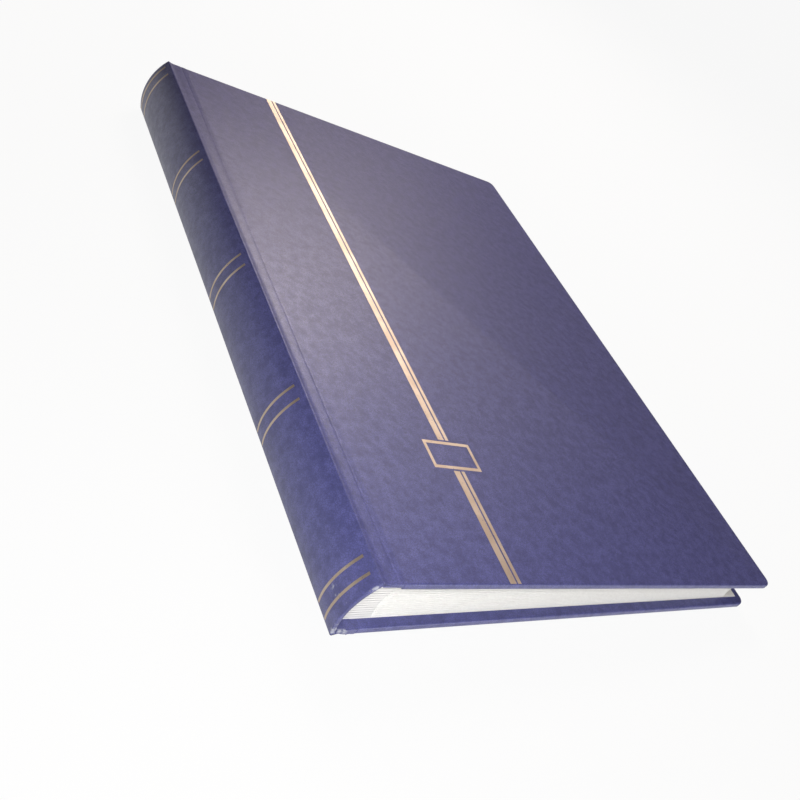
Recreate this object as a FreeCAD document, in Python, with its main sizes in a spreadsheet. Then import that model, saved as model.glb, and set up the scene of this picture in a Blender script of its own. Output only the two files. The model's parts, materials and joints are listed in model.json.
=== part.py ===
"""Hard-bound stamp stock album of the A4 kind, closed and lying on its back cover.

Frame: millimetres, +X from the spine to the fore-edge, +Y from the tail to the head, +Z up.
The origin is below the middle of the album, on the surface that it lies on.
The blanks are drawn with X measured from the ridge, the crease where spine and cover meet.
"""

import FreeCAD, Part
import os
import Sketcher

DRIVING_SIZES = {
    # covers
    "cover_height": 305,
    "cover_width": 224,
    "cover_corner_radius": 4,
    "cover_edge_rounding": 0.8,
    "board_thickness": 2,
    "leatherette_thickness": 0.45,
    "turn_in_width": 14,
    "endpaper_thickness": 0.15,
    "endpaper_margin": 4,
    # joints between covers, spine and leaves
    "joint_width": 7,
    "joint_thickness": 0.8,
    "joint_groove_depth": 0.9,
    "joint_bead_diameter": 1.5,
    "joint_clearance": 0.1,
    "joint_play": 0.35,
    "joint_linen_thickness": 0.25,
    "joint_linen_width": 26,
    "joint_linen_inset": 1,
    # spine
    "spine_bulge": 4,
    "spine_lean": 4,
    "spine_card_thickness": 1,
    "spine_split_gap": 0.1,
    "spine_hollow": 0.8,
    # leaves
    "leaf_count": 16,
    "leaf_width": 210,
    "leaf_height": 297,
    "leaf_card_thickness": 0.4,
    "leaf_slack": 0.11,
    "guard_width": 14,
    "guard_thickness": 1.2375,
    "guard_gap": 0.1,
    "guard_fold": 1,
    # pocket strips and glassine
    "strip_count": 9,
    "strip_opening": 5.5,
    "strip_thickness": 0.05,
    "strip_side_margin": 3,
    "glassine_thickness": 0.05,
    "glassine_clearance": 0.03,
    "glassine_margin": 4,
}

document = FreeCAD.newDocument("stamp_album")
sheet = document.addObject("Spreadsheet::Sheet", "sizes")
for row, (alias, number) in enumerate(DRIVING_SIZES.items(), start=1):
    sheet.set(f"A{row}", alias)
    sheet.set(f"B{row}", str(number))
    sheet.setAlias(f"B{row}", alias)
document.recompute()

# Sizes that follow from the driving ones, as expressions on the sheet
COVER_THICKNESS = "(sizes.board_thickness + 2 * sizes.leatherette_thickness)"
COVER_INSIDE = f"({COVER_THICKNESS} - sizes.leatherette_thickness)"
LINEN_FLOOR = f"({COVER_THICKNESS} + sizes.endpaper_thickness)"
BLOCK_FLOOR = f"({LINEN_FLOOR} + sizes.joint_linen_thickness + sizes.joint_clearance)"
GUARD_RADIUS = "(sizes.guard_thickness / 2)"
BOUND_PITCH = "(sizes.guard_thickness + sizes.guard_gap)"
LEAF_TOP = "(sizes.leaf_card_thickness / 2 + sizes.strip_thickness)"
GLASSINE_FLOOR = f"({LEAF_TOP} + sizes.glassine_clearance)"
LOOSE_PITCH = f"({GLASSINE_FLOOR} + sizes.glassine_thickness + {LEAF_TOP} + sizes.leaf_slack)"
SPINE_THICKNESS = f"(2 * {BLOCK_FLOOR} + sizes.leaf_count * {BOUND_PITCH})"
WEDGE_SLOPE = f"(sizes.leaf_count * ({BOUND_PITCH} - {LOOSE_PITCH}) / sizes.leaf_width)"
STRIP_PITCH = "(sizes.leaf_height / sizes.strip_count)"

# A much used spine leans: its front ridge stands nearer the fore-edge than its back ridge
BEAD_RADIUS = "(sizes.joint_bead_diameter / 2)"
BEAD_RISE = f"({SPINE_THICKNESS} - 2 * {BEAD_RADIUS})"
LEAN = f"atan(sizes.spine_lean / {BEAD_RISE})"
SPINE_SPAN = f"(sqrt({BEAD_RISE}^2 + sizes.spine_lean^2) + 2 * {BEAD_RADIUS})"

# The spine is an arc from ridge to ridge, drawn upright and then leant about the back bead
SPINE_RADIUS = f"({SPINE_SPAN}^2 / (8 * sizes.spine_bulge) + sizes.spine_bulge / 2)"
SPINE_CENTRE_X = f"({SPINE_RADIUS} - sizes.spine_bulge)"
SPINE_CENTRE_Z = f"({SPINE_SPAN} / 2)"
SPINE_CARD_RADIUS = f"({SPINE_RADIUS} - sizes.leatherette_thickness)"
SPINE_LINING_RADIUS = f"({SPINE_CARD_RADIUS} - sizes.spine_card_thickness)"
SPINE_INNER_RADIUS = f"({SPINE_LINING_RADIUS} - sizes.leatherette_thickness)"
BOUND_EDGE_RADIUS = f"({SPINE_INNER_RADIUS} - sizes.spine_hollow)"

# The bead that the cover's joint ends in lies inside the spine's arc, on the lying surface
BEAD_REACH = f"(({SPINE_RADIUS} - {BEAD_RADIUS})^2 - ({SPINE_CENTRE_Z} - {BEAD_RADIUS})^2)"
BEAD_X = f"({SPINE_CENTRE_X} - sqrt({BEAD_REACH}))"
HALF_SPINE_ANGLE = f"atan(({SPINE_CENTRE_Z} - {BEAD_RADIUS}) / ({SPINE_CENTRE_X} - {BEAD_X}))"
SPLIT_ANGLE = f"asin(sizes.spine_split_gap / 2 / {SPINE_RADIUS})"

# Where the lean brings the arc's centre, which the leaves' bound edges follow too
CENTRE_OVER = f"({SPINE_CENTRE_X} - {BEAD_X})"
CENTRE_UP = f"({SPINE_CENTRE_Z} - {BEAD_RADIUS})"
LEANT_CENTRE_X = f"({BEAD_X} + {CENTRE_OVER} * cos({LEAN}) + {CENTRE_UP} * sin({LEAN}))"
LEANT_CENTRE_Z = f"({BEAD_RADIUS} - {CENTRE_OVER} * sin({LEAN}) + {CENTRE_UP} * cos({LEAN}))"

# The joint between ridge and board is an arch, hollow on the outside of the cover
JOINT_SPAN = f"(sizes.joint_width - {BEAD_X})"
ARCH_RADIUS = f"({JOINT_SPAN}^2 / (8 * sizes.joint_groove_depth) + sizes.joint_groove_depth / 2)"
ARCH_CENTRE_X = f"({BEAD_X} + {JOINT_SPAN} / 2)"
ARCH_CENTRE_Z = f"({BEAD_RADIUS} - sizes.joint_thickness / 2 + sizes.joint_groove_depth - {ARCH_RADIUS})"

# The front cover slopes down to the fore-edge; the back ridge stands so that the album is centred
TILT = f"atan({WEDGE_SLOPE})"
FRONT_REACH = f"({BEAD_X} + (sizes.cover_width - {BEAD_X}) * cos({TILT}))"
FORE_EDGE_X = f"max(sizes.cover_width; sizes.spine_lean + {FRONT_REACH})"
RIDGE_X = f"(-({LEANT_CENTRE_X} - {SPINE_RADIUS} + {FORE_EDGE_X}) / 2)"

UP = FreeCAD.Vector(0, 0, 1)
PRECISION = 1e-6


def bind(item, **expressions):
    """Bind the item's properties to expressions; base_x, base_y and base_z stand for its place."""
    for name, expression in expressions.items():
        path = f".Placement.Base.{name[-1]}" if name.startswith("base_") else name
        item.setExpression(path, expression)
    return item


def box(name, low, high):
    """A box between two corners, each three expressions."""
    item = document.addObject("Part::Box", name)
    spans = [f"{top} - ({bottom})" for bottom, top in zip(low, high)]
    bind(item, Length=spans[0], Width=spans[1], Height=spans[2])
    return bind(item, base_x=low[0], base_y=low[1], base_z=low[2])


def sheet_between(name, left, right, height, floor, ceiling):
    """A flat layer, centred from tail to head."""
    return box(name, (left, f"-{height} / 2", floor), (right, f"{height} / 2", ceiling))


def rod(name, radius, height, x, z):
    """A cylinder along Y, centred from tail to head."""
    item = document.addObject("Part::Cylinder", name)
    item.Placement = FreeCAD.Placement(FreeCAD.Vector(), FreeCAD.Rotation(FreeCAD.Vector(1, 0, 0), -90))
    bind(item, Radius=radius, Height=height)
    return bind(item, base_x=x, base_y=f"-{height} / 2", base_z=z)


def cut(name, base, tool):
    item = document.addObject("Part::Cut", name)
    item.Base = base
    item.Tool = tool
    return item


def common(name, base, tool):
    item = document.addObject("Part::Common", name)
    item.Base = base
    item.Tool = tool
    return item


def fuse(name, pieces):
    item = document.addObject("Part::MultiFuse", name)
    item.Shapes = pieces
    item.Refine = True
    return item


def rectangle_sketch(body, name, left, right, bottom, top, floor):
    """A rectangle on the body's XY plane, lifted to the floor, its sides bound to expressions."""
    sketch = body.newObject("Sketcher::SketchObject", name)
    plane = next(item for item in body.Origin.OriginFeatures if item.Role == "XY_Plane")
    sketch.AttachmentSupport = (plane, "")
    sketch.MapMode = "FlatFace"
    sketch.setExpression(".AttachmentOffset.Base.z", floor)
    corners = [FreeCAD.Vector(x, y, 0) for x, y in ((1, 1), (2, 1), (2, 2), (1, 2))]
    for start, end in zip(corners, corners[1:] + corners[:1]):
        sketch.addGeometry(Part.LineSegment(start, end))
    for side in range(4):
        sketch.addConstraint(Sketcher.Constraint("Coincident", side, 2, (side + 1) % 4, 1))
        sketch.addConstraint(Sketcher.Constraint("Vertical" if side % 2 else "Horizontal", side))
    # sides 0 and 2 run along X, so their start points give the low and the high corner
    for kind, side, place in (
        ("DistanceX", 0, left),
        ("DistanceX", 2, right),
        ("DistanceY", 0, bottom),
        ("DistanceY", 2, top),
    ):
        index = sketch.addConstraint(Sketcher.Constraint(kind, -1, 1, side, 1, 1.0))
        sketch.setExpression(f"Constraints[{index}]", place)
    return sketch


def pad(body, name, sketch, length, downwards=False):
    feature = body.newObject("PartDesign::Pad", name)
    feature.Profile = sketch
    feature.setExpression("Length", length)
    feature.Reversed = downwards
    return feature


def round_edges(body, name, base, chosen, radius):
    """Fillet the edges of the base that the test picks."""
    document.recompute()
    picked = [f"Edge{i}" for i, edge in enumerate(base.Shape.Edges, start=1) if chosen(edge)]
    feature = body.newObject("PartDesign::Fillet", name)
    feature.Base = (base, picked)
    feature.setExpression("Radius", radius)
    return feature


def rounded_plate(name, left, right, height, floor, thickness, corner_radius, edge_radius=None):
    """A plate with its two fore-edge corners rounded, and its rims too where edge_radius is given."""
    body = document.addObject("PartDesign::Body", name)
    outline = rectangle_sketch(
        body, f"{name}_outline", left, right, f"-{height} / 2", f"{height} / 2", floor
    )
    plate = pad(body, f"{name}_pad", outline, thickness)
    document.recompute()
    fore_edge = plate.Shape.BoundBox.XMax

    def is_fore_corner(edge):
        upright = abs(abs(edge.tangentAt(edge.FirstParameter).dot(UP)) - 1) < PRECISION
        return upright and abs(edge.CenterOfMass.x - fore_edge) < PRECISION

    plate = round_edges(body, f"{name}_corners", plate, is_fore_corner, corner_radius)
    if edge_radius:
        document.recompute()
        levels = (plate.Shape.BoundBox.ZMin, plate.Shape.BoundBox.ZMax)

        def is_rim(edge):
            box_of_edge = edge.BoundBox
            flat = box_of_edge.ZLength < PRECISION
            return flat and min(abs(box_of_edge.ZMin - level) for level in levels) < PRECISION

        round_edges(body, f"{name}_rims", plate, is_rim, edge_radius)
    return body


def cover_blanks():
    """One cover, outside down: its board, leatherette, endpaper and joint linen."""
    skin = "sizes.leatherette_thickness"
    height = "sizes.cover_height"
    board_left = f"sizes.joint_width + {skin}"
    board = rounded_plate(
        "board_blank",
        board_left,
        f"sizes.cover_width - {skin}",
        f"({height} - 2 * {skin})",
        skin,
        "sizes.board_thickness",
        f"sizes.cover_corner_radius - {skin}",
    )
    # the endpaper fills the window between the turn-ins and laps over them, trimmed with the leaves
    filling = sheet_between(
        "endpaper_filling",
        board_left,
        "sizes.cover_width - sizes.turn_in_width",
        f"({height} - 2 * sizes.turn_in_width)",
        COVER_INSIDE,
        COVER_THICKNESS,
    )
    lap = sheet_between(
        "endpaper_lap",
        board_left,
        "sizes.cover_width - sizes.endpaper_margin",
        "sizes.leaf_height",
        COVER_THICKNESS,
        LINEN_FLOOR,
    )
    endpaper = fuse("endpaper_blank", [filling, lap])
    linen = sheet_between(
        "joint_linen_blank",
        "sizes.joint_linen_inset",
        "sizes.joint_linen_inset + sizes.joint_linen_width",
        "sizes.leaf_height",
        LINEN_FLOOR,
        f"{LINEN_FLOOR} + sizes.joint_linen_thickness",
    )
    # the leatherette wraps the board, runs on through the joint groove and ends in the ridge's bead
    wrapped = rounded_plate(
        "wrapped_board",
        "sizes.joint_width",
        "sizes.cover_width",
        height,
        "0",
        COVER_THICKNESS,
        "sizes.cover_corner_radius",
        "sizes.cover_edge_rounding",
    )
    wrap = cut("cover_wrap", cut("wrap_round_board", wrapped, board), endpaper)
    arch_outside = rod("arch_outside", ARCH_RADIUS, height, ARCH_CENTRE_X, ARCH_CENTRE_Z)
    arch_inside = rod(
        "arch_inside", f"{ARCH_RADIUS} + sizes.joint_thickness", height, ARCH_CENTRE_X, ARCH_CENTRE_Z
    )
    arch_span = sheet_between(
        "arch_span",
        BEAD_X,
        board_left,
        height,
        "0",
        f"{BEAD_RADIUS} + sizes.joint_groove_depth + sizes.joint_thickness",
    )
    arch = common("joint_arch", cut("arch_ring", arch_inside, arch_outside), arch_span)
    bead = rod("joint_bead", BEAD_RADIUS, height, BEAD_X, BEAD_RADIUS)
    leatherette = fuse("cover_skin_blank", [wrap, cut("joint_strip", arch, board), bead])
    return {
        "board": board,
        "cover_skin": leatherette,
        "endpaper": endpaper,
        "joint_linen": linen,
    }


def spine_ring(name, outside, inside, height):
    """The lower half of the spine's arc between two radii, from the split down to the bead."""
    sector = document.addObject("Part::Cylinder", f"{name}_sector")
    bind(sector, Radius=outside, Height=height, Angle=f"{HALF_SPINE_ANGLE} - {SPLIT_ANGLE}")
    centre = f"vector({SPINE_CENTRE_X}; -{height} / 2; {SPINE_CENTRE_Z})"
    along_y = "rotation(vector(1; 0; 0); -90)"
    down_to_bead = f"rotation(vector(0; 0; 1); 180 deg - {HALF_SPINE_ANGLE})"
    sector.setExpression("Placement", f"placement({centre}; {along_y} * {down_to_bead})")
    core = rod(f"{name}_core", inside, height, SPINE_CENTRE_X, SPINE_CENTRE_Z)
    return cut(name, sector, core)


def spine_blanks():
    """The lower half of the spine: its card and the leatherette turned in round it at head and tail."""
    height = "sizes.cover_height"
    card_height = f"({height} - 2 * sizes.leatherette_thickness)"
    window_height = f"({height} - 2 * sizes.turn_in_width)"
    # room for the bead, and over the back joint's arch for the edge of the turned-in leatherette
    arch_over = f"({ARCH_CENTRE_X} - {BEAD_X})"
    arch_up = f"({ARCH_CENTRE_Z} - {BEAD_RADIUS})"
    bead_room = rod(
        "bead_room", f"{BEAD_RADIUS} + sizes.joint_clearance", height, BEAD_X, BEAD_RADIUS
    )
    arch_room = rod(
        "arch_room",
        f"{ARCH_RADIUS} + sizes.joint_thickness + sizes.joint_play",
        height,
        f"{BEAD_X} + {arch_over} * cos({LEAN}) - {arch_up} * sin({LEAN})",
        f"{BEAD_RADIUS} + {arch_over} * sin({LEAN}) + {arch_up} * cos({LEAN})",
    )
    socket = fuse("joint_socket", [bead_room, arch_room])
    card = spine_ring("card_ring", SPINE_CARD_RADIUS, SPINE_LINING_RADIUS, card_height)
    window = spine_ring("window_ring", SPINE_LINING_RADIUS, SPINE_INNER_RADIUS, window_height)
    whole = spine_ring("spine_ring", SPINE_RADIUS, SPINE_INNER_RADIUS, height)
    wrap = cut("spine_wrap", cut("wrap_round_card", whole, card), window)
    return {
        "card": cut("spine_card_blank", card, socket),
        "skin": cut("spine_skin_blank", wrap, socket),
    }


def leaf_blanks():
    """One leaf about its hinge axis: card, linen guard, pocket strips and glassine interleaf."""
    height = "sizes.leaf_height"
    leaf_end = f"(sizes.leaf_width - {GUARD_RADIUS})"
    guard_end = f"(sizes.guard_width - {GUARD_RADIUS})"
    half_card = "sizes.leaf_card_thickness / 2"
    card = sheet_between(
        "leaf_card", f"sizes.guard_fold - {GUARD_RADIUS}", leaf_end, height, f"-{half_card}", half_card
    )
    # the linen folds round the card's bound edge, with the fold on the hinge axis
    fold = rod("guard_fold_round", GUARD_RADIUS, height, "0", "0")
    flaps = sheet_between("guard_flaps", "0", guard_end, height, f"-{GUARD_RADIUS}", GUARD_RADIUS)
    guard = cut("leaf_guard", fuse("guard_whole", [fold, flaps]), card)
    glassine = sheet_between(
        "glassine_blank",
        guard_end,
        f"{leaf_end} - sizes.glassine_margin",
        f"({height} - 2 * sizes.glassine_margin)",
        GLASSINE_FLOOR,
        f"{GLASSINE_FLOOR} + sizes.glassine_thickness",
    )
    # nine strips on each page, closed along their tail edge, with an opening above each one
    strips = document.addObject("PartDesign::Body", "strips_blank")
    strips.AllowCompound = True
    pads = []
    for page, downwards in (("front", False), ("back", True)):
        outline = rectangle_sketch(
            strips,
            f"{page}_strip_outline",
            f"{guard_end} + sizes.strip_side_margin",
            f"{leaf_end} - sizes.strip_side_margin",
            f"-{height} / 2 + sizes.strip_opening / 2",
            f"-{height} / 2 + {STRIP_PITCH} - sizes.strip_opening / 2",
            f"-{half_card}" if downwards else half_card,
        )
        pads.append(pad(strips, f"{page}_strip", outline, "sizes.strip_thickness", downwards))
    document.recompute()
    pattern = strips.newObject("PartDesign::LinearPattern", "strip_rows")
    pattern.Originals = pads
    pattern.Direction = (pads[0].Profile[0], ["V_Axis"])
    bind(pattern, Length=f"{STRIP_PITCH} * (sizes.strip_count - 1)", Occurrences="sizes.strip_count")
    strips.Tip = pattern
    return {"leaf": [card, guard], "pocket_strips": [strips], "interleaf": [glassine]}


nodes = []


def place_node(label, blanks, place):
    """A copy of the blanks at their place in the album."""
    node = document.addObject("Part::Compound", label)
    node.Label = label
    node.Links = blanks
    node.setExpression("Placement", place)
    nodes.append(node)


# Back cover as drawn; front cover turned over about the X axis and tilted down to the fore-edge
FRONT_BEAD_X = f"({RIDGE_X} + {BEAD_X} + sizes.spine_lean)"
FRONT_X = f"({FRONT_BEAD_X} - {BEAD_X} * cos({TILT}) + {BEAD_RADIUS} * sin({TILT}))"
BEAD_DROP = f"({BEAD_X} * sin({TILT}) + {BEAD_RADIUS} * cos({TILT}))"
FRONT_Z = f"({SPINE_THICKNESS} - {BEAD_RADIUS} + {BEAD_DROP})"
TURN_OVER = "rotation(vector(1; 0; 0); 180)"
for piece, blank in cover_blanks().items():
    place_node(f"back_{piece}", [blank], f"placement(vector({RIDGE_X}; 0; 0); rotation(vector(0; 1; 0); 0))")
    place_node(
        f"front_{piece}",
        [blank],
        f"placement(vector({FRONT_X}; 0; {FRONT_Z}); rotation(vector(0; 1; 0); {TILT}) * {TURN_OVER})",
    )

# The lower half of the spine leans about the back bead; the upper half is the same piece turned over
LOWER_X = f"({RIDGE_X} + {BEAD_X} - {BEAD_X} * cos({LEAN}) - {BEAD_RADIUS} * sin({LEAN}))"
LOWER_Z = f"({BEAD_RADIUS} + {BEAD_X} * sin({LEAN}) - {BEAD_RADIUS} * cos({LEAN}))"
UPPER_X = f"({LOWER_X} + {SPINE_SPAN} * sin({LEAN}))"
UPPER_Z = f"({LOWER_Z} + {SPINE_SPAN} * cos({LEAN}))"
LEANT = f"rotation(vector(0; 1; 0); {LEAN})"
for piece, blank in spine_blanks().items():
    place_node(f"spine_lower_{piece}", [blank], f"placement(vector({LOWER_X}; 0; {LOWER_Z}); {LEANT})")
    place_node(
        f"spine_upper_{piece}",
        [blank],
        f"placement(vector({UPPER_X}; 0; {UPPER_Z}); {LEANT} * {TURN_OVER})",
    )

# Leaf 1 lies under the front cover, the last leaf on the back cover
leaf_count = int(sheet.get("leaf_count"))
blanks_of_leaf = leaf_blanks()
for number in range(1, leaf_count + 1):
    steps = leaf_count - number + 0.5
    hinge_z = f"({BLOCK_FLOOR} + {steps} * {BOUND_PITCH})"
    reach = f"sqrt({BOUND_EDGE_RADIUS}^2 - ({hinge_z} - {LEANT_CENTRE_Z})^2)"
    hinge_x = f"({RIDGE_X} + {LEANT_CENTRE_X} - {reach} + {GUARD_RADIUS})"
    tilt = f"atan({WEDGE_SLOPE} * {steps} / sizes.leaf_count)"
    for piece, blanks in blanks_of_leaf.items():
        place_node(
            f"{piece}_{number:02d}",
            blanks,
            f"placement(vector({hinge_x}; 0; {hinge_z}); rotation(vector(0; 1; 0); {tilt}))",
        )

document.recompute()
for item in document.Objects:
    if {"Invalid", "Error"} & set(item.State):
        raise RuntimeError(f"{item.Label} failed to build: {item.State}")
for node in nodes:
    if node.Shape.isNull() or not node.Shape.isValid():
        raise RuntimeError(f"{node.Label} has no valid shape")

os.makedirs("parts", exist_ok=True)
for node in nodes:
    node.Shape.exportStep(f"parts/{node.Label}.step")
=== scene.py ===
import json
import math

import bmesh
import bpy
from mathutils import Matrix, Vector

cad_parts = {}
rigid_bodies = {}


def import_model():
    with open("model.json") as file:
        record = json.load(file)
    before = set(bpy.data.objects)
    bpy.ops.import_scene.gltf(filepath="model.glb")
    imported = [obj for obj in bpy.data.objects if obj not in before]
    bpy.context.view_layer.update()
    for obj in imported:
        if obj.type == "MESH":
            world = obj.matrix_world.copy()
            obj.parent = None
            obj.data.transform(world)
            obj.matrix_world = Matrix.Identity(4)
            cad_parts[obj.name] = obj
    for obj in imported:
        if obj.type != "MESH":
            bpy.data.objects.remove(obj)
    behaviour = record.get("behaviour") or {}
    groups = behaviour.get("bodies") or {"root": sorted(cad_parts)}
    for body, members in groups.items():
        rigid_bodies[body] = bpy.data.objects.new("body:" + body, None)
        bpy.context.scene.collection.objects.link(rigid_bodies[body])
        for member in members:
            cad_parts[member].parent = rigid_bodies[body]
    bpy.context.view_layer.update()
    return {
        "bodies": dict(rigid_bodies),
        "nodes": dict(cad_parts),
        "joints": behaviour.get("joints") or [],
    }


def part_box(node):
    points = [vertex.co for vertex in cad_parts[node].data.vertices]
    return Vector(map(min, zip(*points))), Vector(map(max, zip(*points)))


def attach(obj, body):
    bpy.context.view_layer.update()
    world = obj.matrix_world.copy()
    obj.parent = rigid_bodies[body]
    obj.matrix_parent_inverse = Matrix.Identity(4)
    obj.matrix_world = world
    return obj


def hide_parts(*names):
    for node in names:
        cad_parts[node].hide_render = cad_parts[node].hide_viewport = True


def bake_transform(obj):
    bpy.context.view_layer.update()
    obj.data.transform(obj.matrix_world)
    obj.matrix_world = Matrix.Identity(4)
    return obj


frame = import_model()
mm = 0.001

# Cover boards: two plates of grey pulp board, cut square and glued inside the leatherette.
# Nothing of them shows on a whole case, and the plates keep their plain cut shape.
greyboard_colours = ((0.30, 0.275, 0.235, 1), (0.42, 0.39, 0.34, 1))
pulp_size = 1.5 * mm
pulp_depth = 0.08 * mm


def start_material(name, sockets):
    """A new material with the given sockets set, its node tree and its shader."""
    material = bpy.data.materials.new(name)
    material.use_nodes = True
    shader = material.node_tree.nodes["Principled BSDF"]
    for socket, value in sockets.items():
        shader.inputs[socket].default_value = value
    return material, material.node_tree, shader


def add_node(tree, kind, sockets, **settings):
    """A node whose sockets are set to values, or joined to the sockets given for them."""
    node = tree.nodes.new(kind)
    for setting, value in settings.items():
        setattr(node, setting, value)
    for socket, value in sockets.items():
        if isinstance(value, bpy.types.NodeSocket):
            tree.links.new(value, node.inputs[socket])
        else:
            node.inputs[socket].default_value = value
    return node


def add_noise(tree, place, scale, detail=2.0, roughness=0.5):
    sockets = {"Vector": place, "Scale": scale, "Detail": detail, "Roughness": roughness}
    return add_node(tree, "ShaderNodeTexNoise", sockets).outputs["Fac"]


def mix_colours(tree, share, first, second):
    return add_node(tree, "ShaderNodeMix", {0: share, 6: first, 7: second}, data_type="RGBA").outputs[2]


def add_bump(tree, shader, height, distance, strength=1.0):
    sockets = {"Height": height, "Distance": distance, "Strength": strength}
    tree.links.new(add_node(tree, "ShaderNodeBump", sockets).outputs["Normal"], shader.inputs["Normal"])


def object_place(tree):
    return add_node(tree, "ShaderNodeTexCoord", {}).outputs["Object"]


def paint_node(name, material):
    """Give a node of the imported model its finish."""
    for material_slot in frame["nodes"][name].material_slots:
        material_slot.material = material


greyboard, tree, shader = start_material("greyboard", {"Roughness": 0.92, "Specular IOR Level": 0.2})
pulp = add_noise(tree, object_place(tree), 1 / pulp_size, detail=6, roughness=0.7)
tree.links.new(mix_colours(tree, pulp, *greyboard_colours), shader.inputs["Base Color"])
add_bump(tree, shader, pulp, pulp_depth)
for name in ("back_board", "front_board"):
    paint_node(name, greyboard)

# Leatherette: coated paper embossed with a fine hide grain, dyed a violet blue and slightly mottled, with
# shade painted darker into the creases of its grain.
# It has rubbed pale along the rims of the spine and in a few spots near its tail.
leatherette_colours = ((0.058, 0.060, 0.182, 1), (0.106, 0.109, 0.304, 1))
# painted shade: the darker colour painted into the creases of the grain
crease_shade_colour = (0.050, 0.052, 0.140, 1)
worn_colour = (0.38, 0.39, 0.47, 1)
leatherette_roughness = (0.43, 0.36)
grain_size = 0.85 * mm
pore_size = 0.35 * mm
cockle_size = 9 * mm
mottle_size = 4 * mm
rub_size = 5 * mm
grain_depth = 0.03 * mm
grain_strength = 0.9
pore_share = 0.35
cockle_share = 2.2
# how much of the dye still shows through the shade painted into a crease, and half a crease's width as a
# share of the grain's size
dye_left_in_crease_shade = 0.3
crease_reach = 0.16
# most of a noise lies in the first range, and the rubbing takes its upper part
noise_span = (0.3, 0.7)
rub_span = (0.56, 0.68)
rim_wear = 1.0 * mm
ridge_wear = 2 * mm
hinge = {joint["name"]: Vector(joint["pos_m"]) for joint in frame["joints"]}
front_bead = hinge["front_joint"]
spine_middle = hinge["spine_flex"]
case_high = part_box("back_cover_skin")[1]
half_height = case_high.y
spine_wear_end = front_bead.x + ridge_wear
# the rubbed spots, as places from tail to head and from the table up, with their reach
spine_spots = ((-144.6 * mm, 13.5 * mm, 3.6 * mm), (-150.9 * mm, 16.0 * mm, 0.9 * mm))
spot_core = 0.3


def add_range(tree, value, low, high, to_low=0.0, to_high=1.0):
    """The value spread smoothly from one range to another and held at its ends."""
    sockets = {"Value": value, "From Min": low, "From Max": high, "To Min": to_low, "To Max": to_high}
    return add_node(tree, "ShaderNodeMapRange", sockets, interpolation_type="SMOOTHSTEP").outputs["Result"]


def add_math(tree, operation, first, second=0):
    return add_node(tree, "ShaderNodeMath", {0: first, 1: second}, operation=operation).outputs["Value"]


def rest_place(tree):
    """The place that a point of the leatherette has on the closed album."""
    return add_node(tree, "ShaderNodeAttribute", {}, attribute_name="rest_place").outputs["Vector"]


def add_spot(tree, place, centre, reach):
    """One in the core of a round spot, fading to nothing at its reach."""
    sockets = {0: place, 1: centre}
    away = add_node(tree, "ShaderNodeVectorMath", sockets, operation="DISTANCE").outputs["Value"]
    return add_range(tree, away, reach, spot_core * reach)


leatherette, tree, shader = start_material("leatherette", {})
place = rest_place(tree)
pebble_sockets = {"Vector": place, "Scale": 1 / grain_size}
pebbles = add_node(tree, "ShaderNodeTexVoronoi", pebble_sockets, feature="DISTANCE_TO_EDGE")
creases = add_range(tree, pebbles.outputs["Distance"], 0.0, crease_reach)
pores = add_noise(tree, place, 1 / pore_size)
cockle = add_noise(tree, place, 1 / cockle_size, detail=3)
mottle = add_noise(tree, place, 1 / mottle_size, detail=6, roughness=0.7)
dye = mix_colours(tree, add_range(tree, mottle, *noise_span), *leatherette_colours)
# painted shade: the creases of the grain are coloured darker than the dye
dye_with_crease_shade = mix_colours(tree, add_range(tree, creases, 0, 1, dye_left_in_crease_shade, 1), crease_shade_colour, dye)
axes = add_node(tree, "ShaderNodeSeparateXYZ", {"Vector": place}).outputs
rim = add_range(tree, add_math(tree, "ABSOLUTE", axes["Y"]), half_height - rim_wear, half_height)
wear = add_math(tree, "MULTIPLY", rim, add_range(tree, axes["X"], spine_wear_end, front_bead.x))
for along, up, reach in spine_spots:
    spot = add_spot(tree, place, (spine_middle.x, along, up), reach)
    wear = add_math(tree, "MAXIMUM", wear, spot)
rubbing = add_range(tree, add_noise(tree, place, 1 / rub_size, detail=4, roughness=0.65), *rub_span)
rubbed = add_math(tree, "MULTIPLY", wear, rubbing)
tree.links.new(mix_colours(tree, rubbed, dye_with_crease_shade, worn_colour), shader.inputs["Base Color"])
tree.links.new(add_range(tree, mottle, *noise_span, *leatherette_roughness), shader.inputs["Roughness"])
relief = add_math(tree, "ADD", add_math(tree, "MULTIPLY", pores, pore_share), creases)
swell = add_math(tree, "MULTIPLY", cockle, cockle_share)
add_bump(tree, shader, add_math(tree, "ADD", relief, swell), grain_depth, strength=grain_strength)

# Cover leatherette: it wraps each board, is turned in round head, tail and fore-edge and glued down.
# The two covers are alike: the front one is turned over, slopes down to the fore-edge and stands nearer it.
back_bead = hinge["back_joint"]
board_low, board_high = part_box("back_board")
leather = board_low.z
rounding = back_bead.z
corner_radius = 4 * mm
turn_in = 14 * mm
joint_reach = 9 * mm
tiny = 0.01 * mm
smooth_angle = math.radians(40)
# the part of a unit direction on an axis, above which it runs along it and below which across it
along_axis = 0.9
across_axis = 0.1
wrap_low = Vector((back_bead.x + joint_reach, -half_height, 0))
wrap_high = Vector((case_high.x, half_height, case_high.z))
window_end = wrap_high.x - turn_in
window_half = half_height - turn_in


def add_block(name, low, high):
    """A cube brought to the box between two corners and left open in edit mode."""
    bpy.ops.object.select_all(action="DESELECT")
    bpy.ops.mesh.primitive_cube_add(size=1)
    piece = bpy.context.active_object
    piece.name = name
    bpy.ops.object.mode_set(mode="EDIT")
    bpy.ops.transform.resize(value=high - low)
    bpy.ops.transform.translate(value=(low + high) / 2)
    return piece


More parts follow.
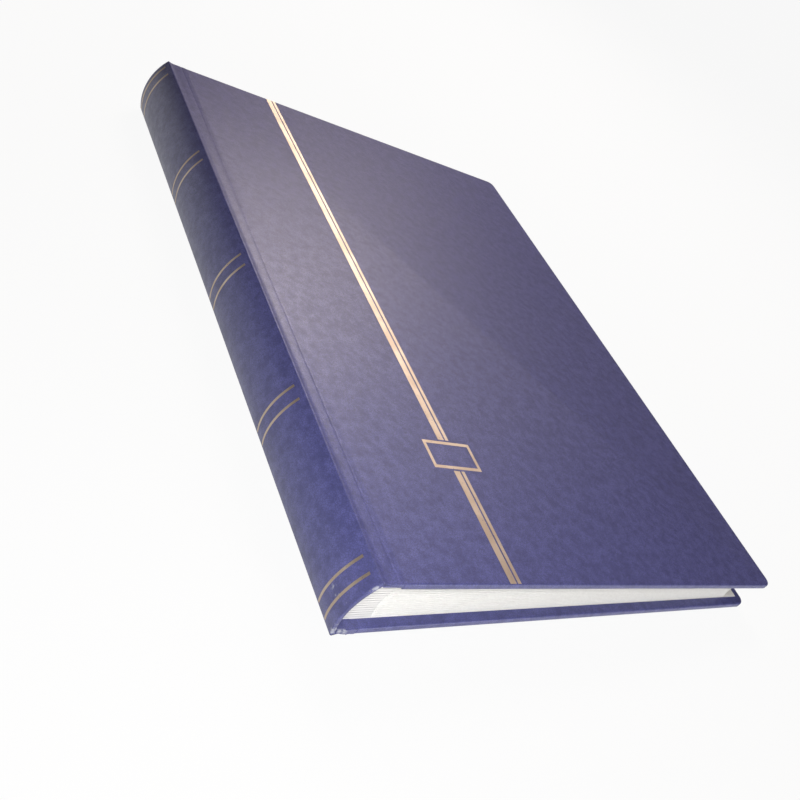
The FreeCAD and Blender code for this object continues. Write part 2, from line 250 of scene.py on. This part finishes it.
def pick(piece, kind, wanted):
    """In edit mode, select the edges or faces whose middle and direction or normal pass the test."""
    bpy.ops.mesh.select_mode(type=kind)
    bpy.ops.mesh.select_all(action="DESELECT")
    mesh = bmesh.from_edit_mesh(piece.data)
    for item in mesh.edges if kind == "EDGE" else mesh.faces:
        corners = [corner.co for corner in item.verts]
        middle = sum(corners, Vector()) / len(corners)
        facing = (corners[1] - corners[0]).normalized() if kind == "EDGE" else item.normal
        if wanted(middle, facing):
            item.select_set(True)
    mesh.select_flush_mode()
    bmesh.update_edit_mesh(piece.data)


def round_edges(piece, wanted, radius, steps):
    """In edit mode, round the edges whose middle and direction pass the test."""
    pick(piece, "EDGE", wanted)
    bpy.ops.mesh.bevel(offset=radius, segments=steps, affect="EDGES")


def finish_piece(piece, material, thickness=0.0):
    """Leave edit mode, give a sheet its thickness on the inside, and smooth and finish the piece."""
    bpy.ops.object.mode_set(mode="OBJECT")
    if thickness:
        wall = piece.modifiers.new("wall", "SOLIDIFY")
        wall.thickness = thickness
        wall.offset = -1
        wall.use_even_offset = True
        bpy.ops.object.modifier_apply(modifier=wall.name)
    bpy.ops.object.shade_smooth_by_angle(angle=smooth_angle)
    piece.data.materials.append(material)


def keep_rest_place(piece):
    """Store where the points lie on the closed album, so that the grain stays on them as it opens."""
    places = piece.data.attributes.new("rest_place", "FLOAT_VECTOR", "POINT")
    places.data.foreach_set("vector", [number for vertex in piece.data.vertices for number in vertex.co])


def copy_piece(piece, name, lay):
    """A copy with its own mesh, laid by the matrix."""
    copied = piece.copy()
    copied.data = piece.data.copy()
    copied.name = name
    copied.data.transform(lay)
    bpy.context.scene.collection.objects.link(copied)
    return copied


# the tilt of the front cover follows from its board, which lies flat in the back cover
tilted_low, tilted_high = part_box("front_board")
board_length = board_high.x - board_low.x
board_thickness = board_high.z - board_low.z
rise = (tilted_high.z - tilted_low.z) / math.hypot(board_length, board_thickness)
tilt = math.asin(rise) - math.atan2(board_thickness, board_length)
turn_over = Matrix.Rotation(math.pi, 4, "X")
to_front_bead = Matrix.Translation(front_bead)
turned_bead = turn_over @ back_bead
front_lay = to_front_bead @ Matrix.Rotation(tilt, 4, "Y") @ Matrix.Translation(-turned_bead) @ turn_over


def on_inside(at, normal):
    return at.z > wrap_high.z - tiny


def in_window(at, normal):
    return on_inside(at, normal) and at.x < window_end and abs(at.y) < window_half


back_wrap = add_block("back_cover_leatherette", wrap_low, wrap_high)
round_edges(
    back_wrap,
    lambda at, along: at.x > wrap_high.x - tiny and abs(along.z) > along_axis,
    corner_radius,
    steps=10,
)
round_edges(
    back_wrap,
    lambda at, along: abs(along.z) < across_axis and at.x > wrap_low.x + tiny,
    rounding,
    steps=5,
)
pick(back_wrap, "FACE", lambda at, normal: normal.x < -along_axis and at.x < wrap_low.x + tiny)
bpy.ops.mesh.delete(type="FACE")
window_cuts = (
    ((window_end, 0, 0), (1, 0, 0)),
    ((0, -window_half, 0), (0, 1, 0)),
    ((0, window_half, 0), (0, 1, 0)),
)
for cut_place, cut_normal in window_cuts:
    pick(back_wrap, "FACE", on_inside)
    bpy.ops.mesh.bisect(plane_co=cut_place, plane_no=cut_normal)
pick(back_wrap, "FACE", in_window)
bpy.ops.mesh.delete(type="FACE")
finish_piece(back_wrap, leatherette, thickness=leather)
front_wrap = copy_piece(back_wrap, "front_cover_leatherette", front_lay)
for wrap, side in ((back_wrap, "back"), (front_wrap, "front")):
    keep_rest_place(wrap)
    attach(wrap, f"{side}_cover")
    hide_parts(f"{side}_cover_skin")

# Joint: between each board and the ridge the leatherette is pressed into a groove over the linen, turned
# in at both ends, and runs round the bead in the ridge. A pressed line marks the edge of the board, and
# the front joint has almost flattened out, with its ridge a little proud of the cover.
ridge_lip = 0.5 * mm
press_place = 6.6 * mm
press_depth = 0.1 * mm
press_bend = 2.0 * mm
back_groove = {"depth": 0.7 * mm, "board_bend": 8 * mm, "groove_bend": 2.5 * mm, "flap": 2.9 * mm}
front_groove = {"depth": 0.02 * mm, "board_bend": 30 * mm, "groove_bend": 8 * mm, "flap": 1.6 * mm}
flap_gap = 0.6 * mm
joint_rim = 0.4 * mm
spine_card = 1.0 * mm
spine_shell = 2 * leather + spine_card
high_bead = front_bead + Vector((0, 0, ridge_lip))
# the spine is an arc that leans and touches both beads from outside
chord = high_bead - back_bead
half_chord = chord.length / 2
spine_lean = math.atan2(chord.x, chord.z)
spine_out = Vector((-math.cos(spine_lean), 0, math.sin(spine_lean)))
bulge = (spine_middle - back_bead - chord / 2).dot(spine_out)
spine_radius = (bulge**2 + half_chord**2 - rounding**2) / (2 * (bulge - rounding))
spine_centre = back_bead + chord / 2 + (bulge - spine_radius) * spine_out
spine_half_angle = math.atan2(half_chord, spine_radius - bulge)


def draw_round(centre, angle, steps):
    """Spin the picked point or edge on about the line from tail to head through the centre."""
    bpy.ops.mesh.spin(steps=steps, angle=angle, center=centre, axis=(0, -1, 0))


def draw_line(step):
    bpy.ops.mesh.extrude_region_move(TRANSFORM_OT_translate={"value": step})


def add_joint(name, bead, groove, turn):
    """A joint with its outside down, drawn from the cover through the groove and round the bead."""
    depth, board_bend, groove_bend = groove["depth"], groove["board_bend"], groove["groove_bend"]
    board_angle = math.acos(1 - depth / (board_bend + groove_bend))
    bead_angle = math.acos((bead.z + groove_bend - depth) / (rounding + groove_bend))
    groove_x = bead.x + (rounding + groove_bend) * math.sin(bead_angle)
    bend_x = groove_x + (board_bend + groove_bend) * math.sin(board_angle)
    press_angle = math.acos(1 - press_depth / (2 * press_bend))
    press_x = bead.x + press_place
    press_reach = 2 * press_bend * math.sin(press_angle)
    inward = Vector((math.sin(turn), 0, math.cos(turn)))
    spine_side = bead - rounding * inward
    flap_low = bead + (spine_shell - rounding) * inward
    flap_high = Vector((bead.x + flap_gap, 0, groove["flap"]))
    bpy.ops.object.select_all(action="DESELECT")
    bpy.ops.mesh.primitive_plane_add(size=1)
    piece = bpy.context.active_object
    piece.name = name
    bpy.ops.object.mode_set(mode="EDIT")
    bpy.ops.mesh.select_mode(type="VERT")
    bpy.ops.mesh.merge(type="CENTER")
    bpy.ops.transform.translate(value=wrap_low)
    draw_line((press_x + press_reach - wrap_low.x, 0, 0))
    draw_round((press_x + press_reach, 0, press_bend), press_angle, steps=5)
    draw_round((press_x, 0, press_depth - press_bend), -2 * press_angle, steps=10)
    draw_round((press_x - press_reach, 0, press_bend), press_angle, steps=5)
    draw_line((bend_x - press_x + press_reach, 0, 0))
    draw_round((bend_x, 0, board_bend), board_angle, steps=8)
    draw_round((groove_x, 0, depth - groove_bend), -board_angle - bead_angle, steps=24)
    draw_round(bead, bead_angle + turn, steps=16)
    for start, end in ((spine_side, flap_low), (flap_low, flap_high)):
        draw_line(end - start)
    draw_line((wrap_low.x - flap_high.x, 0, 0))
    bpy.ops.mesh.select_all(action="SELECT")
    bpy.ops.mesh.edge_face_add()
    draw_line((0, 2 * half_height, 0))
    bpy.ops.mesh.select_all(action="SELECT")
    bpy.ops.mesh.normals_make_consistent(inside=False)
    end_outside = groove["flap"] - tiny
    round_edges(
        piece,
        lambda at, along: abs(at.y) > half_height - tiny and at.z < end_outside,
        joint_rim,
        steps=3,
    )
    finish_piece(piece, leatherette)
    return piece


spine_turn = math.pi / 2 - spine_half_angle
back_joint = add_joint("back_joint_leatherette", back_bead, back_groove, spine_turn + spine_lean)
turned_high_bead = front_lay.inverted() @ high_bead
front_turn = spine_turn - spine_lean + tilt
front_joint = add_joint("front_joint_leatherette", turned_high_bead, front_groove, front_turn)
front_joint.data.transform(front_lay)
for joint in (back_joint, front_joint):
    keep_rest_place(joint)
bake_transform(back_joint)
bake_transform(front_joint)

# Spine: a strip of card, rounded and covered with the leatherette, which is turned in at head and tail.
# It is flexible, but here it is drawn only in its rounded shape on the closed album.
spine_steps = 72
spine_rim_rounding = 0.5 * mm
card_inset = 1.1 * mm


def start_on_spine(name, radius, angle, length, along=0.0):
    """An edge on the spine's leaning arc, at an angle below its middle, open and picked in edit mode."""
    down = angle - spine_lean
    reach = Vector((-radius * math.cos(down), along, -radius * math.sin(down)))
    bpy.ops.object.select_all(action="DESELECT")
    bpy.ops.mesh.primitive_plane_add(size=length)
    piece = bpy.context.active_object
    piece.name = name
    bpy.ops.object.mode_set(mode="EDIT")
    bpy.ops.transform.resize(value=(0, 1, 1))
    bpy.ops.mesh.remove_doubles(threshold=tiny)
    bpy.ops.transform.translate(value=spine_centre + reach)
    return piece


def finish_sheet(piece, material, thickness):
    """Turn the faces of a sheet drawn up the spine outwards, and finish it."""
    bpy.ops.mesh.select_all(action="SELECT")
    bpy.ops.mesh.flip_normals()
    finish_piece(piece, material, thickness)


def blend_along_spine(piece):
    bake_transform(piece)


def on_spine_rim(at, along):
    """Whether an edge at the head or tail runs round the arc, and not towards its centre."""
    return abs(at.y) > half_height - tiny and abs(along.dot(at - spine_centre)) < tiny


spine = start_on_spine("spine_leatherette", spine_radius, spine_half_angle, 2 * half_height)
draw_round(spine_centre, 2 * spine_half_angle, spine_steps)
to_inside = 1 - spine_shell / spine_radius
for end in (-1, 1):
    pick(spine, "EDGE", lambda at, along: end * at.y > half_height - tiny)
    bpy.ops.mesh.extrude_region_move()
    bpy.ops.transform.resize(value=(to_inside, 1, to_inside), center_override=spine_centre)
    draw_line((0, -end * turn_in, 0))
round_edges(spine, on_spine_rim, spine_rim_rounding, steps=4)
finish_sheet(spine, leatherette, leather)
keep_rest_place(spine)
blend_along_spine(spine)
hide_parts("spine_lower_skin", "spine_upper_skin")

card_half_angle = spine_half_angle - math.asin(card_inset / spine_radius)
card = start_on_spine("spine_card", spine_radius - leather, card_half_angle, 2 * (half_height - leather))
draw_round(spine_centre, 2 * card_half_angle, spine_steps)
finish_sheet(card, greyboard, spine_card)
blend_along_spine(card)
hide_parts("spine_lower_card", "spine_upper_card")

# Gold foil, hot-stamped into the leatherette: a wide and a thin line down the front cover, broken by a
# bare name frame, and five pairs of thin lines round the spine. It is rubbed through in places.
foil_colours = ((0.48, 0.385, 0.305, 1), (0.55, 0.455, 0.37, 1))
foil_roughness = (0.52, 0.47)
tarnish_size = 9 * mm
tarnish_span = (0.35, 0.65)
fleck_size = 0.8 * mm
fleck_span = (0.64, 0.70)
foil_depth = 0.05 * mm
ridge_reach = 0.43 * mm
ridge = back_bead.x - ridge_reach
# the lines and the frame on the cover lie between these places, measured from the ridge
wide_line = (55.9 * mm, 58.9 * mm)
thin_line = (59.7 * mm, 61.3 * mm)
name_frame = (47.2 * mm, 71.0 * mm)
name_frame_ends = (-101.3 * mm, -87.7 * mm)
name_frame_line = 1.4 * mm
line_gap = 0.9 * mm
line_margin = 0.5 * mm
band_places = (-143.8 * mm, -70.3 * mm, 3.0 * mm, 74.7 * mm, 146.0 * mm)
band_gap = 6.4 * mm
band_width = 1.1 * mm
band_low_angle = math.radians(28)
band_high_angle = math.radians(25.3)

foil, tree, shader = start_material("gold_foil", {"Metallic": 1.0})
place = rest_place(tree)
tarnish = add_noise(tree, place, 1 / tarnish_size, detail=4)
flecks = add_range(tree, add_noise(tree, place, 1 / fleck_size, detail=3, roughness=0.7), *fleck_span)
gilding = mix_colours(tree, add_range(tree, tarnish, *tarnish_span), *foil_colours)
tree.links.new(mix_colours(tree, flecks, gilding, leatherette_colours[0]), shader.inputs["Base Color"])
tree.links.new(add_math(tree, "SUBTRACT", 1, flecks), shader.inputs["Metallic"])
tree.links.new(add_range(tree, tarnish, *noise_span, *foil_roughness), shader.inputs["Roughness"])

foil_half = half_height - line_margin
runs = ((-foil_half, name_frame_ends[0] - line_gap), (name_frame_ends[1] + line_gap, foil_half))
stampings = []
for label, line in (("wide", wide_line), ("thin", thin_line)):
    for end, run in zip(("tail", "head"), runs):
        # the front cover is laid by turning the album over, so head and tail trade places here
        low = Vector((ridge + line[0], -run[1], -foil_depth))
        high = Vector((ridge + line[1], -run[0], foil_depth))
        strip = add_block(f"foil_{label}_line_{end}", low, high)
        finish_piece(strip, foil)
        stampings.append(strip)
frame_low = Vector((ridge + name_frame[0], -name_frame_ends[1], -foil_depth))
frame_high = Vector((ridge + name_frame[1], -name_frame_ends[0], foil_depth))
label_frame = add_block("foil_name_frame", frame_low, frame_high)
pick(label_frame, "FACE", lambda at, normal: abs(normal.z) > along_axis)
bpy.ops.mesh.inset(thickness=name_frame_line)
bpy.ops.mesh.bridge_edge_loops()
finish_piece(label_frame, foil)
stampings.append(label_frame)
for stamping in stampings:
    stamping.data.transform(front_lay)
    keep_rest_place(stamping)
    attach(stamping, "front_cover")

for pair, pair_place in enumerate(band_places, start=1):
    for side, label in ((-1, "tail"), (1, "head")):
        along = pair_place + side * band_gap / 2
        name = f"foil_spine_band_{pair}_{label}"
        band = start_on_spine(name, spine_radius + foil_depth, band_low_angle, band_width, along)
        draw_round(spine_centre, band_low_angle + band_high_angle, spine_steps)
        finish_sheet(band, foil, 2 * foil_depth)
        keep_rest_place(band)
        blend_along_spine(band)

# Leaves: sixteen stiff white card pages, each held at its bound edge in a folded linen guard.
# The guards are sewn and glued into the rounded back, so the pages fan out as the album opens.
leaf_count = sum(name.startswith("leaf_") for name in frame["bodies"])
card_thickness = 0.4 * mm
glassine_thickness = 0.05 * mm
page_corner = 1.5 * mm
page_rim = 0.06 * mm
page_colours = ((0.79, 0.782, 0.757, 1), (0.85, 0.843, 0.82, 1))
fibre_size = 1.2 * mm
fibre_depth = 0.02 * mm
guard_fold = 1.0 * mm
guard_edge = 0.25 * mm
# the fold is a little short of a full half round, which keeps a narrow flat on its back
guard_roundness = 0.98
linen_colours = ((0.87, 0.86, 0.83, 1), (0.92, 0.91, 0.89, 1))
thread = 0.5 * mm
thread_swing = 0.5
weave_span = (-0.25, 0.25)
weave_depth = 0.015 * mm

page_card, tree, shader = start_material("page_card", {"Roughness": 0.75, "Specular IOR Level": 0.3})
fibres = add_noise(tree, object_place(tree), 1 / fibre_size, detail=5, roughness=0.7)
page_tone = mix_colours(tree, add_range(tree, fibres, *noise_span), *page_colours)
tree.links.new(page_tone, shader.inputs["Base Color"])
add_bump(tree, shader, fibres, fibre_depth)

linen, tree, shader = start_material("linen", {"Roughness": 0.9, "Specular IOR Level": 0.2})
axes = add_node(tree, "ShaderNodeSeparateXYZ", {"Vector": object_place(tree)}).outputs


def add_threads(tree, along):
    """A wave from nothing to one, with a crest on each thread."""
    wave = add_math(tree, "SINE", add_math(tree, "MULTIPLY", along, 2 * math.pi / thread))
    sockets = {0: wave, 1: thread_swing, 2: thread_swing}
    return add_node(tree, "ShaderNodeMath", sockets, operation="MULTIPLY_ADD").outputs["Value"]


weave = add_math(tree, "MULTIPLY", add_threads(tree, axes["X"]), add_threads(tree, axes["Y"]))
checks = add_range(tree, weave, *weave_span)
tree.links.new(mix_colours(tree, checks, *linen_colours), shader.inputs["Base Color"])
add_bump(tree, shader, checks, weave_depth)

last_leaf = f"{leaf_count:02d}"
last_low, last_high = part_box(f"leaf_{last_leaf}")
last_hinge = hinge[f"leaf_{last_leaf}_guard"]
guard_radius = last_hinge.x - last_low.x
guard_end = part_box(f"interleaf_{last_leaf}")[0].x - last_hinge.x
page_end = last_high.x - last_hinge.x
half_page = Vector((0, last_high.y, card_thickness / 2))
half_guard = Vector((0, last_high.y, guard_radius))

# a page and its guard are modelled once about the leaf's hinge and then laid in each leaf's place
page_low = Vector((guard_fold - guard_radius, 0, 0)) - half_page
page_high = Vector((page_end, 0, 0)) + half_page
page = add_block("page", page_low, page_high)
round_edges(
    page,
    lambda at, along: at.x > page_end - tiny and abs(along.z) > along_axis,
    page_corner,
    steps=4,
)
round_edges(page, lambda at, along: abs(along.z) < across_axis, page_rim, steps=2)
finish_piece(page, page_card)
guard_low = Vector((-guard_radius, 0, 0)) - half_guard
guard_high = Vector((guard_end, 0, 0)) + half_guard
guard = add_block("guard", guard_low, guard_high)
round_edges(
    guard,
    lambda at, along: at.x < tiny - guard_radius and abs(along.y) > along_axis,
    guard_roundness * guard_radius,
    steps=6,
)
round_edges(
    guard,
    lambda at, along: at.x > guard_end - tiny and abs(along.y) > along_axis,
    guard_edge,
    steps=3,
)
finish_piece(guard, linen)
for number in range(1, leaf_count + 1):
    leaf = f"leaf_{number:02d}"
    sheet_low, sheet_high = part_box(f"interleaf_{number:02d}")
    sheet_drop = sheet_high.z - sheet_low.z - glassine_thickness
    slope = math.atan2(sheet_drop, sheet_high.x - sheet_low.x)
    leaf_lay = Matrix.Translation(hinge[f"{leaf}_guard"]) @ Matrix.Rotation(slope, 4, "Y")
    leaf_page = copy_piece(page, f"page_{number:02d}", leaf_lay)
    leaf_guard = copy_piece(guard, f"guard_{number:02d}", leaf_lay)
    for piece, slot in ((leaf_page, "page_card"), (leaf_guard, "linen")):
        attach(piece, leaf)
        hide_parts(leaf)
for pattern in (page, guard):
    bpy.data.objects.remove(pattern)

# Pocket strips and interleaves: nine clear film strips are welded to each side of a page along their tail
# edge, to hold the stamps, and a loose glassine sheet on each leaf keeps facing pages apart.
film_colour = (0.93, 0.94, 0.95, 1)
film_haze = (0.09, 0.12)
haze_size = 14 * mm
glassine_colour = (0.88, 0.87, 0.82, 1)
glassine_haze = (0.36, 0.42)
cloud_size = 9 * mm
cloud_depth = 0.05 * mm
film, tree, shader = start_material("clear_film", {"Base Color": film_colour, "Roughness": 0.1})
haze = add_noise(tree, object_place(tree), 1 / haze_size)
tree.links.new(add_range(tree, haze, *noise_span, *film_haze), shader.inputs["Alpha"])
glassine, tree, shader = start_material("glassine", {"Base Color": glassine_colour, "Roughness": 0.35})
cloud = add_noise(tree, object_place(tree), 1 / cloud_size, detail=5)
tree.links.new(add_range(tree, cloud, *noise_span, *glassine_haze), shader.inputs["Alpha"])
add_bump(tree, shader, cloud, cloud_depth)
for number in range(1, leaf_count + 1):
    paint_node(f"pocket_strips_{number:02d}", film)
    paint_node(f"interleaf_{number:02d}", glassine)

# Endpapers and joint linen: a white sheet is pasted over the turn-ins inside each cover, and a woven
# strip over its joint ties the leaves to the case.
endpaper_colours = ((0.82, 0.80, 0.75, 1), (0.88, 0.87, 0.83, 1))
laid_size = 2.5 * mm
laid_depth = 0.03 * mm
endpaper, tree, shader = start_material("endpaper", {"Roughness": 0.85, "Specular IOR Level": 0.25})
laid = add_noise(tree, object_place(tree), 1 / laid_size, detail=6, roughness=0.65)
endpaper_tone = mix_colours(tree, add_range(tree, laid, *noise_span), *endpaper_colours)
tree.links.new(endpaper_tone, shader.inputs["Base Color"])
add_bump(tree, shader, laid, laid_depth)
for side in ("back", "front"):
    paint_node(f"{side}_endpaper", endpaper)
    paint_node(f"{side}_joint_linen", linen)

# Studio: a pale floor that the camera sees almost white and that keeps the album's shadow. A soft spot over
# the camera lights the spine's tail, two warm panels beyond the head give the front cover its sheen, and a
# low panel lights the page edges, in an even, dim and warm room.
floor_colour = (0.6, 0.6, 0.6, 1)
floor_size = 12.0
floor_gap = 0.5 * mm
floor_glow = 0.93
white = (1, 1, 1, 1)
room_colour = (1, 0.86, 0.8, 1)
room_light = 0.06
camera_place = Vector((-281.54, -281.5, 226.6)) * mm
camera_forward = Vector((0.59808, 0.58423, -0.54861))
camera_up = Vector((-0.08952, 0.72896, 0.67868))
camera_sensor = 36
camera_lens = 42.656
camera_near = 0.01
lamp_place = camera_place + Vector((-0.01, -0.01, 0.03))
lamp_target = (-0.08, -0.15, 0.015)
lamp_power = 5.3
lamp_softness = 0.05
lamp_cone = math.radians(90)
# each panel's name, place, the point that it faces, its power in watts, its width and its colour
panels = (
    ("head_panel", (0.34, 0.66, 0.674), (-0.09, -0.03, 0.02), 6.2, 0.36, (1, 0.88, 0.80)),
    ("tail_panel", (0.334, 0.204, 0.47), (-0.05, -0.12, 0.02), 0.5, 0.25, (1, 0.93, 0.88)),
    ("page_panel", (0.35, -0.9, 0.12), (0.05, -0.15, 0.01), 4.2, 0.2, (1, 1, 1)),
)


def seen_directly(tree):
    """One for rays from the camera and in reflections or glass, else nothing."""
    path = add_node(tree, "ShaderNodeLightPath", {}).outputs
    mirrored = add_math(tree, "MAXIMUM", path["Is Glossy Ray"], path["Is Transmission Ray"])
    return add_math(tree, "MAXIMUM", path["Is Camera Ray"], mirrored)


def add_lamp(kind, name, place, target, power):
    """A lamp that faces the target."""
    bpy.ops.object.light_add(type=kind, location=place)
    lamp = bpy.context.active_object
    lamp.name = name
    lamp.data.energy = power
    lamp.rotation_euler = (Vector(target) - Vector(place)).to_track_quat("-Z", "Y").to_euler()
    return lamp


bpy.ops.object.select_all(action="DESELECT")
bpy.ops.mesh.primitive_plane_add(size=floor_size, location=(0, 0, -floor_gap))
floor = bpy.context.active_object
floor.name = "floor"
floor_paint, tree, shader = start_material("floor_paint", {"Base Color": floor_colour, "Roughness": 0.9})
glow = add_node(tree, "ShaderNodeEmission", {"Color": white, "Strength": 1.0}).outputs["Emission"]
share = add_math(tree, "MULTIPLY", seen_directly(tree), floor_glow)
mixed = add_node(tree, "ShaderNodeMixShader", {0: share, 1: shader.outputs["BSDF"], 2: glow})
tree.links.new(mixed.outputs["Shader"], tree.nodes["Material Output"].inputs["Surface"])
floor.data.materials.append(floor_paint)

world = bpy.data.worlds.new("studio")
world.use_nodes = True
bpy.context.scene.world = world
room = world.node_tree.nodes["Background"].inputs
room["Color"].default_value = room_colour
room["Strength"].default_value = room_light

camera_lamp = add_lamp("SPOT", "camera_lamp", lamp_place, lamp_target, lamp_power)
camera_lamp.data.shadow_soft_size = lamp_softness
camera_lamp.data.spot_size = lamp_cone
camera_lamp.data.spot_blend = 1.0
for name, place, target, power, width, colour in panels:
    panel = add_lamp("AREA", name, place, target, power)
    panel.data.size = width
    panel.data.color = colour

bpy.ops.object.camera_add()
camera = bpy.context.active_object
camera.data.sensor_width = camera_sensor
camera.data.lens = camera_lens
camera.data.clip_start = camera_near
camera_side = camera_forward.cross(camera_up)
turned = Matrix((camera_side, camera_up, -camera_forward)).transposed()
camera.matrix_world = Matrix.Translation(camera_place) @ turned.to_4x4()
bpy.context.scene.camera = camera
bpy.context.scene.view_settings.view_transform = "Standard"
